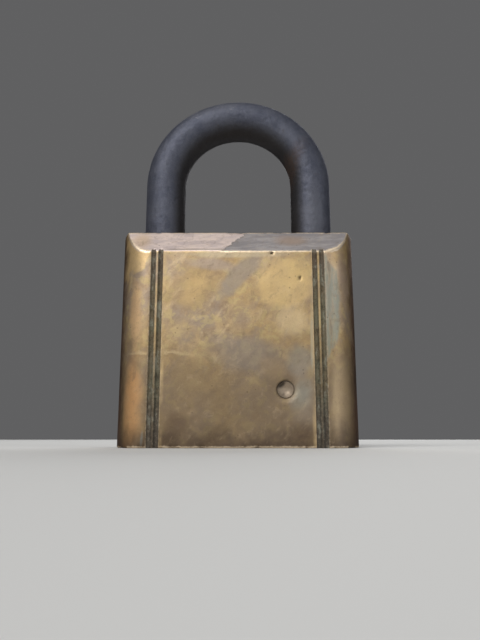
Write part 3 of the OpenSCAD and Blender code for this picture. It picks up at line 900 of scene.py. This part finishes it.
def painted_side_and_foot_shade(s, colour, middle):
    """Painted shade: dark brown round the crowned sides, where they turn away from the light, and along the
    foot.
    """
    across = s.plus(s.maths("ABSOLUTE", s.axis("X")), s.times(s.minus(middle, 0.5), 3.0))
    cloud = s.noise(0.16, 4, 0.6, 0.5, (1, 1, 1.6))
    brown = s.mix(s.mask(cloud, 0.42, 0.62), PAINTED_SIDE_SHADE, [c * 1.9 for c in PAINTED_SIDE_SHADE])
    # Painted shade, darkest towards the silhouettes of the crowned sides
    colour = s.mix(s.mask(across, 19.2, 21.3, 0.94), colour, brown)
    # Painted shade: darker brown along the foot
    height = s.plus(s.axis("Z"), s.times(middle, 6.0))
    return s.mix(s.mask(height, 7.6, 2.9, 0.7), colour, PAINTED_FOOT_SHADE)


def film_slant(s, small):
    """Distance to the right of the slanting edge of the old film on the front bevel."""
    slant = s.minus(s.axis("X"), s.times(s.minus(s.axis("Z"), BEVEL_Z), FILM_SLOPE))
    return s.plus(slant, s.plus(s.times(small, 3.0), 1.5))


def old_film(s, slant):
    return s.times(s.mask(slant, 0.35, -0.35), s.mask(s.axis("Y"), 0.0, -2.0))


def brass_bevel(s, colour, slant):
    """Grey tarnish on the bevels, with the paler old film to the left on the front."""
    film = old_film(s, slant)
    cloud = s.noise(0.55, 5, 0.66, 0.4, (3.2, 1, 0.8), (0, -6, 0))
    tarnish = s.mix(s.mask(cloud, 0.4, 0.62), BEVEL_DARK, BEVEL_PALE)
    pale = s.mix(s.mask(cloud, 0.4, 0.62), FILM_PALE, FILM_DARK)
    tint = s.mix(film, tarnish, pale)
    for centre, radii, stain in BEVEL_STAINS:
        tint = s.mix(s.times(s.patch(centre, radii, 0, 0.8), 0.55), tint, stain)
    shadow = s.maths("MINIMUM", s.mask(slant, -0.1, 0.1), s.mask(slant, 0.55, 0.15))
    tint = s.mix(s.times(shadow, 0.5), tint, FILM_SHADOW)
    height = s.minus(s.axis("Z"), BEVEL_Z)
    line = s.maths("MINIMUM", s.mask(height, 0.3, 0.42), s.mask(height, 0.72, 0.52))
    line = s.times(line, film, s.mask(s.axis("X"), -13.4, -11.5))
    tint = s.mix(s.times(line, 0.7), tint, FILM_LINE)
    return s.mix(s.times(s.attribute("bevel"), 0.92), colour, tint)


def brass_tide(s, colour, middle, small):
    """A faint water line on the left, broken by the grooves."""
    height = s.plus(s.axis("Z"), s.plus(s.times(small, 1.3), s.times(middle, 1.6)))
    line = s.maths("MINIMUM", s.mask(height, 17.0, 17.3), s.mask(height, 17.9, 17.4))
    outside = s.times(s.mask(s.axis("X"), -15.4, -15.8), s.mask(s.axis("X"), -20.0, -18.0))
    inside = s.times(s.mask(s.axis("X"), -6.0, -11.0), s.mask(s.axis("X"), -12.9, -12.5))
    return s.mix(s.times(line, s.plus(outside, inside), 0.42), colour, TIDE)


def brass_grooves(s, colour, middle):
    """Rubbed strips beside the grooves, and dirt with crumbs of verdigris in them and up the ridge."""
    width = s.maths("ABSOLUTE", s.axis("X"))
    on_face = s.times(
        s.mask(s.maths("ABSOLUTE", s.axis("Y")), DEPTH / 2 - 1.2, DEPTH / 2 - 0.9),
        s.mask(s.axis("Z"), BEVEL_Z + 0.2, BEVEL_Z - 0.1))
    rim = GROOVE_INNER - GROOVE_W / 2
    strip = s.times(s.mask(width, rim - 0.8, rim - 0.25), s.mask(width, rim + 0.1, rim), on_face)
    patchy = s.mask(s.noise(0.24, 4, 0.6, 0.3, (1, 1, 2)), 0.42, 0.66, 0.62)
    colour = s.mix(s.times(strip, patchy), colour, STRIP)
    crumbs = s.noise(0.9, 5, 0.7, 0, (1, 1, 1.6))
    dirt = s.mix(s.mask(middle, 0.44, 0.6), DIRT_BROWN, DIRT_GREEN)
    low = s.mask(s.plus(s.axis("Z"), s.times(middle, 6.0)), 14.0, 7.0, 0.75)
    dirt = s.mix(low, dirt, DIRT_LOW)
    high = s.mask(s.plus(s.axis("Z"), s.times(middle, 8.0)), 30.0, 37.0, 0.8)
    dirt = s.mix(high, dirt, DIRT_HIGH)
    speck = s.noise(2.4, 3, 0.6)
    dirt = s.mix(s.mask(speck, 0.56, 0.64, 0.5), dirt, SPECK_PALE)
    dirt = s.mix(s.mask(speck, 0.44, 0.36, 0.7), dirt, SPECK_DARK)
    dirt = s.mix(s.mask(crumbs, 0.52, 0.66, 0.75), dirt, CRUMB)
    dirt = s.mix(s.mask(crumbs, 0.44, 0.34, 0.7), dirt, DIRT_DEEP)
    off_ridge = s.maths("ABSOLUTE", s.minus(width, (GROOVE_INNER + GROOVE_OUTER) / 2))
    flank = s.times(s.mask(off_ridge, 0.06, 0.2, 0.75), s.mask(off_ridge, 0.62, 0.5), on_face)
    colour = s.mix(flank, colour, dirt)
    low_ridge = s.times(on_face, s.mask(off_ridge, 0.5, 0.3), s.mask(s.axis("Z"), 20.0, 5.0, 0.75))
    colour = s.mix(low_ridge, colour, dirt)
    return s.mix(s.mask(s.attribute("groove"), 0.05, 0.6, 0.92), colour, dirt)


def aged_brass():
    """Tarnished brass: handled edges, brown and grey patina, verdigris in the corners; painted shade on the
    sides, towards the foot and round the front pin, and painted highlights on the bevel corners and the left
    shoulder.
    """
    s = Shading("aged_brass")
    middle = s.noise(0.3, 5, 0.62, 0.4)
    small = s.noise(1.1, 5, 0.65)
    grain = s.noise(5.5, 3, 0.6)

    colour = brass_ground(s, middle)
    colour = brass_patches(s, colour)
    colour = brass_verdigris(s, colour)
    colour = painted_side_and_foot_shade(s, colour, middle)
    slant = film_slant(s, small)
    colour = brass_bevel(s, colour, slant)
    colour = brass_tide(s, colour, middle, small)

    # Small stains and smears
    smear = s.noise(0.75, 5, 0.66, 0.8, (1, 1, 1.6), (0, 35, 0))
    fade = s.mask(s.maths("ABSOLUTE", s.axis("X")), 21.0, 18.0)
    colour = s.mix(s.times(s.mask(smear, 0.54, 0.7, 0.34), fade), colour, SMEAR_DARK)
    colour = s.mix(s.times(s.mask(smear, 0.46, 0.28, 0.16), fade), colour, SMEAR_PALE)
    colour = s.mix(s.mask(small, 0.54, 0.72, 0.22), colour, BROWN)

    # Rubbed edges: real wear, and along the bevel corners a painted highlight
    wear_and_highlight = s.plus(s.attribute("wear_and_highlight"), s.times(s.minus(small, 0.5), 1.3))
    low_edge = s.mask(s.axis("Z"), BEVEL_Z + 1.0, BEVEL_Z + 0.6)
    low_edge = s.times(old_film(s, slant), low_edge, s.mask(s.axis("X"), -15.5, -14.5))
    rubbed = s.times(s.mask(wear_and_highlight, 0.45, 1.0, 0.95), s.minus(1.0, s.times(low_edge, 0.9)))
    colour = s.mix(rubbed, colour, RUBBED_AND_HIGHLIGHT)
    colour = brass_grooves(s, colour, middle)

    specks = s.times(s.mask(s.cells(0.8), 0.16, 0.05), s.mask(middle, 0.5, 0.58))
    colour = s.mix(s.times(specks, 0.45), colour, SPOT)
    colour = s.mix(s.mask(grain, 0.5, 0.72, 0.16), colour, GRAIN_DARK)
    # Near black in the deep pits, and painted shadow round the front pin
    colour = s.mix(s.attribute("pit_and_pin_shadow"), colour, PIT_AND_PIN_SHADOW_BLACK)

    rough = s.plus(0.4, s.times(middle, 0.22))
    rough = s.plus(rough, s.times(s.attribute("groove"), 0.3))
    rough = s.minus(rough, s.times(rubbed, 0.12))
    metallic = s.minus(0.78, s.times(s.mask(s.attribute("groove"), 0.1, 0.7), 0.5))
    s.shader.inputs["Specular Tint"].default_value = (0.24, 0.18, 0.14, 1)
    s.shader.inputs["Specular IOR Level"].default_value = 0.3
    surface = s.bump(s.noise(0.55, 4, 0.5), 0.09, 0.5)
    surface = s.bump(s.noise(2.6, 4, 0.6), 0.032, 0.6, surface)
    surface = s.bump(grain, 0.01, 0.5, surface)
    return s.finish(colour, rough, metallic, surface)


def oxidised_steel():
    """Hardened steel gone dark, with a fine blue-grey grain and a little brown; painted shade inside the bow
    and a painted highlight down the toe leg.
    """
    s = Shading("oxidised_steel")
    middle = s.noise(0.3, 4, 0.55, 0.4)
    small = s.noise(1.8, 5, 0.66)
    grain = s.noise(7.5, 3, 0.65)
    streak = s.noise(1.4, 4, 0.6, 0, (1, 1, 2.8))
    colour = s.mix(s.mask(middle, 0.36, 0.66), STEEL_DARK, STEEL_PALE)
    colour = s.mix(s.mask(streak, 0.46, 0.68, 0.35), colour, STEEL_STREAK)
    colour = s.mix(s.mask(small, 0.55, 0.74, 0.4), colour, STEEL_STAIN)
    colour = s.mix(s.mask(grain, 0.54, 0.72, 0.5), colour, STEEL_GLINT)
    colour = s.mix(s.mask(grain, 0.44, 0.3, 0.5), colour, STEEL_PORE)
    # Painted highlight: a paler band down the front of the toe leg
    paler = s.patch((LEG_X + 0.4, -4.0, 44), (3.0, 4.0, 10.0), 0, 0.9)
    colour = s.mix(s.times(paler, 0.6), colour, LEG_HIGHLIGHT_PAINT)

    # Painted shade: darker, browner steel inside the bow, on the underside that faces away from the light
    rise = s.maths("MAXIMUM", s.minus(s.axis("Z"), BOW_Z), 0.0)
    reach = s.maths("SQRT", s.plus(s.times(s.axis("X"), s.axis("X")), s.times(rise, rise)))
    inner = s.mask(s.plus(reach, s.times(small, 1.2)), LEG_X - 0.4, LEG_X - 2.8, 0.8)
    colour = s.mix(inner, colour, BOW_INNER_SHADE)
    rubbed = s.times(s.patch((-5.0, -3.0, 69.0), (11.0, 5, 3.6), -12, 0.8), s.mask(grain, 0.36, 0.62, 0.45))
    colour = s.mix(rubbed, colour, BOW_RUBBED)
    rust = s.times(s.patch((10.6, -0.8, 55.0), (2.9, 6, 10.5), 20, 0.8), s.mask(small, 0.28, 0.6))
    colour = s.mix(s.times(rust, 0.8), colour, RUST)
    for centre in BOW_SCUFFS:
        scuff = s.times(s.patch(centre, (3.4, 4, 1.7), 0, 0.8), s.mask(s.noise(2.6, 5, 0.7), 0.55, 0.68))
        colour = s.mix(s.times(scuff, 0.65), colour, SCUFF)
    spots = s.times(s.mask(s.noise(0.8, 4, 0.6), 0.6, 0.72), s.mask(small, 0.48, 0.62, 0.45))
    colour = s.mix(spots, colour, RUST_SPOT)

    rough = s.plus(0.47, s.times(small, 0.22))
    s.shader.inputs["Specular Tint"].default_value = (0.22, 0.22, 0.26, 1)
    s.shader.inputs["Specular IOR Level"].default_value = 0.3
    surface = s.bump(small, 0.07, 0.7)
    surface = s.bump(grain, 0.036, 0.8, surface)
    return s.finish(colour, rough, 0.72, surface)


def turned_metal(name, colour, dark, roughness, metallic=0.9, tarnish=0.5, shadow_place=None):
    """A machined piece: faint tool marks and some tarnish, with one painted shadow if a place for it is
    given.
    """
    s = Shading(name)
    middle = s.noise(0.32, 5, 0.6, 0.6)
    small = s.noise(2.2, 4, 0.6)
    tint = s.mix(s.mask(middle, 0.3, 0.75, tarnish), colour, dark)
    tint = s.mix(s.mask(small, 0.54, 0.8, tarnish * 0.5), tint, [c * 0.6 for c in dark])
    if shadow_place:
        tint = s.mix(s.times(s.patch(*shadow_place), 0.9), tint, [c * 0.25 for c in dark])
    tool = s.noise(4.0, 2, 0.5, 0, (4, 4, 0.33))
    rough = s.plus(roughness, s.times(small, 0.16))
    surface = s.bump(tool, 0.01, 0.5)
    surface = s.bump(small, 0.014, 0.5, surface)
    return s.finish(tint, rough, metallic, surface)


def dress(obj, material):
    """Puts one material on the whole piece."""
    obj.data.materials.clear()
    obj.data.materials.append(material)
    return obj


# ---- building the pieces

body_brass = aged_brass()
dark_steel = oxidised_steel()
cylinder_brass = turned_metal(
    "cylinder_brass", (0.5, 0.37, 0.19), (0.2, 0.145, 0.09), roughness=0.4, metallic=0.85, tarnish=0.9)
plug_brass = turned_metal(
    "plug_brass", (0.62, 0.46, 0.23), (0.3, 0.215, 0.125), roughness=0.3, tarnish=0.6)
pin_brass = turned_metal(
    "pin_brass", (0.62, 0.47, 0.25), (0.26, 0.19, 0.115), roughness=0.32, metallic=0.88, tarnish=0.9)
nickel = turned_metal("driver_nickel", (0.66, 0.64, 0.58), (0.42, 0.4, 0.35), roughness=0.28)
spring_steel = turned_metal("spring_steel", (0.42, 0.42, 0.44), (0.18, 0.15, 0.13), roughness=0.3)
ball_steel = turned_metal(
    "ball_steel", (0.62, 0.63, 0.65), (0.35, 0.34, 0.33), roughness=0.14, metallic=1.0, tarnish=0.3)
cam_steel = turned_metal("cam_steel", (0.5, 0.48, 0.42), (0.28, 0.25, 0.2), roughness=0.36)

padlock_body = body_mesh()
bore_body(padlock_body)
clean(padlock_body)
shade(padlock_body)
for name, rule in (("wear_and_highlight", wear_and_highlight_rule), ("groove", groove_rule), ("bevel", bevel_rule), ("pit_and_pin_shadow", pit_and_pin_shadow_rule)):
    set_mask(padlock_body, name, rule)
dress(padlock_body, body_brass)
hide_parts("body")
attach(padlock_body, "case")

padlock_shackle = shackle_mesh()
cut_notches(padlock_shackle)
clean(padlock_shackle)
shade(padlock_shackle)
dress(padlock_shackle, dark_steel)
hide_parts("shackle")
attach(padlock_shackle, "shackle")

front_pin = peened_pin("front_pin", PIN_R, (PIN_X, pin_low.y, PIN_Z), (0, 1, 0), pin_high.y - pin_low.y, 0.62)
back_face = heel_pin_high.y - BACK_PIN_SINK
back_pin = peened_pin(
    "back_pin", HEEL_PIN_R, (HEEL_PIN_X, back_face, HEEL_PIN_Z), (0, -1, 0), back_face - heel_pin_low.y, 0.18)
# The dark place is a painted shadow in the front pin's dish, at the upper left where its rim shades it
dull_brass = turned_metal(
    "dull_brass", (0.44, 0.355, 0.265), (0.2, 0.158, 0.118), roughness=0.46, metallic=0.7, tarnish=0.8,
    shadow_place=((PIN_X - 0.75, pin_low.y, PIN_Z + 0.95), (1.25, 3.0, 0.75), -35))
for pin, node in ((front_pin, "shell_retaining_pin"), (back_pin, "heel_retaining_pin")):
    shade(pin, 50)
    dress(pin, dull_brass)
    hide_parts(node)
    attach(pin, "case")

side_plug = flush_plug("side_plug", BALL_BORE_R, plug_low.x, BALL_Z)
shade(side_plug, 50)
for name in ("wear_and_highlight", "groove", "bevel", "pit_and_pin_shadow"):
    set_mask(side_plug, name, lambda p: 0.0)
dress(side_plug, body_brass)
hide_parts("cross_bore_plug")
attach(side_plug, "case")

heel_coil = coil(
    "shackle_spring_coil", (-LEG_X, 0, HEEL_FLOOR), (0, 0, 1), mean_r=LEG_R - 1,
    wire_r=0.35, length=spring_high.z - HEEL_FLOOR, turns=5.5)
shade(heel_coil)
dress(heel_coil, spring_steel)
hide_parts("shackle_spring")
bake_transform(heel_coil)

for node in sorted(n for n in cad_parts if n.startswith("driver_spring_")):
    low, high = box_mm(node)
    middle_x, middle_z = (low.x + high.x) / 2, (low.z + high.z) / 2
    number = node.rsplit("_", 1)[1]
    wound = coil("driver_spring_coil_" + number, (middle_x, high.y, middle_z), (0, -1, 0),
                 mean_r=(high.z - low.z) / 2 - DRIVER_WIRE_R, wire_r=DRIVER_WIRE_R,
                 length=high.y - low.y, turns=5, sides=10, steps=28)
    shade(wound)
    dress(wound, spring_steel)
    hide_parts(node)
    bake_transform(wound)

finishes = {
    "cylinder_shell": cylinder_brass,
    "spring_cover": pin_brass,
    "key_plug": plug_brass,
    "plug_clip": spring_steel,
    "cam": cam_steel,
    "toe_ball": ball_steel,
    "heel_ball": ball_steel,
}
for name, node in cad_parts.items():
    if name.startswith("key_pin_"):
        dress(node, pin_brass)
    elif name.startswith("driver_pin_"):
        dress(node, nickel)
    elif name in finishes:
        dress(node, finishes[name])

# ---- stage, lights and camera


def stage_floor():
    reach = 3000
    below = -0.02
    corners = ((-reach, -reach), (reach, -reach), (reach, reach), (-reach, reach))
    floor = new_object("floor", [(x, y, below) for x, y in corners], [(0, 1, 2, 3)])
    s = Shading("floor_paper")
    tone = s.mask(s.noise(0.02, 2, 0.5), 0.2, 0.8, 0.15)
    dress(floor, s.finish(s.mix(tone, (0.6, 0.6, 0.59), (0.55, 0.55, 0.54)), 0.85, 0.0))


def area_light(name, place, target, size, watts, tint=(1, 1, 1)):
    """A soft light; places and sizes are in millimetres."""
    data = bpy.data.lights.new(name, "AREA")
    data.shape = "RECTANGLE"
    data.size, data.size_y = (side * MM for side in size)
    data.energy = watts
    data.color = tint
    lamp = add_to_scene(name, data)
    place, target = Vector(place) * MM, Vector(target) * MM
    lamp.location = place
    lamp.rotation_euler = (target - place).to_track_quat("-Z", "Y").to_euler()


def studio():
    """A dim surround and four soft lights, the key from the upper left of the front."""
    world = bpy.data.worlds.new("studio")
    world.use_nodes = True
    sky = world.node_tree.nodes["Background"]
    sky.inputs["Color"].default_value = (0.98, 0.98, 1.0, 1)
    sky.inputs["Strength"].default_value = 0.12
    bpy.context.scene.world = world
    middle = (0, 0, HEIGHT * 0.6)
    area_light("key", (-500, -960, 900), middle, (840, 720), 14.0, (1.0, 0.99, 0.975))
    area_light("top", (60, -180, 1260), middle, (900, 700), 2.2)
    area_light("fill", (900, -780, 360), middle, (480, 600), 2.4, (0.95, 0.97, 1.0))
    area_light("back", (200, 950, 640), middle, (900, 600), 6.0)


def photo_camera():
    """Place, tilt and lens were fitted to the perspective of the photo."""
    place_mm = (0.93, -110.82, 1.5)
    pitch, yaw = 0.202, 0.005
    data = bpy.data.cameras.new("camera")
    data.sensor_width = 36
    data.lens = 32.67
    data.clip_start = 0.002
    data.clip_end = 20
    camera = add_to_scene("camera", data)
    camera.location = [c * MM for c in place_mm]
    camera.rotation_euler = (math.pi / 2 + pitch, 0, yaw)
    bpy.context.scene.camera = camera


stage_floor()
studio()
photo_camera()
bpy.context.scene.view_settings.view_transform = "Standard"
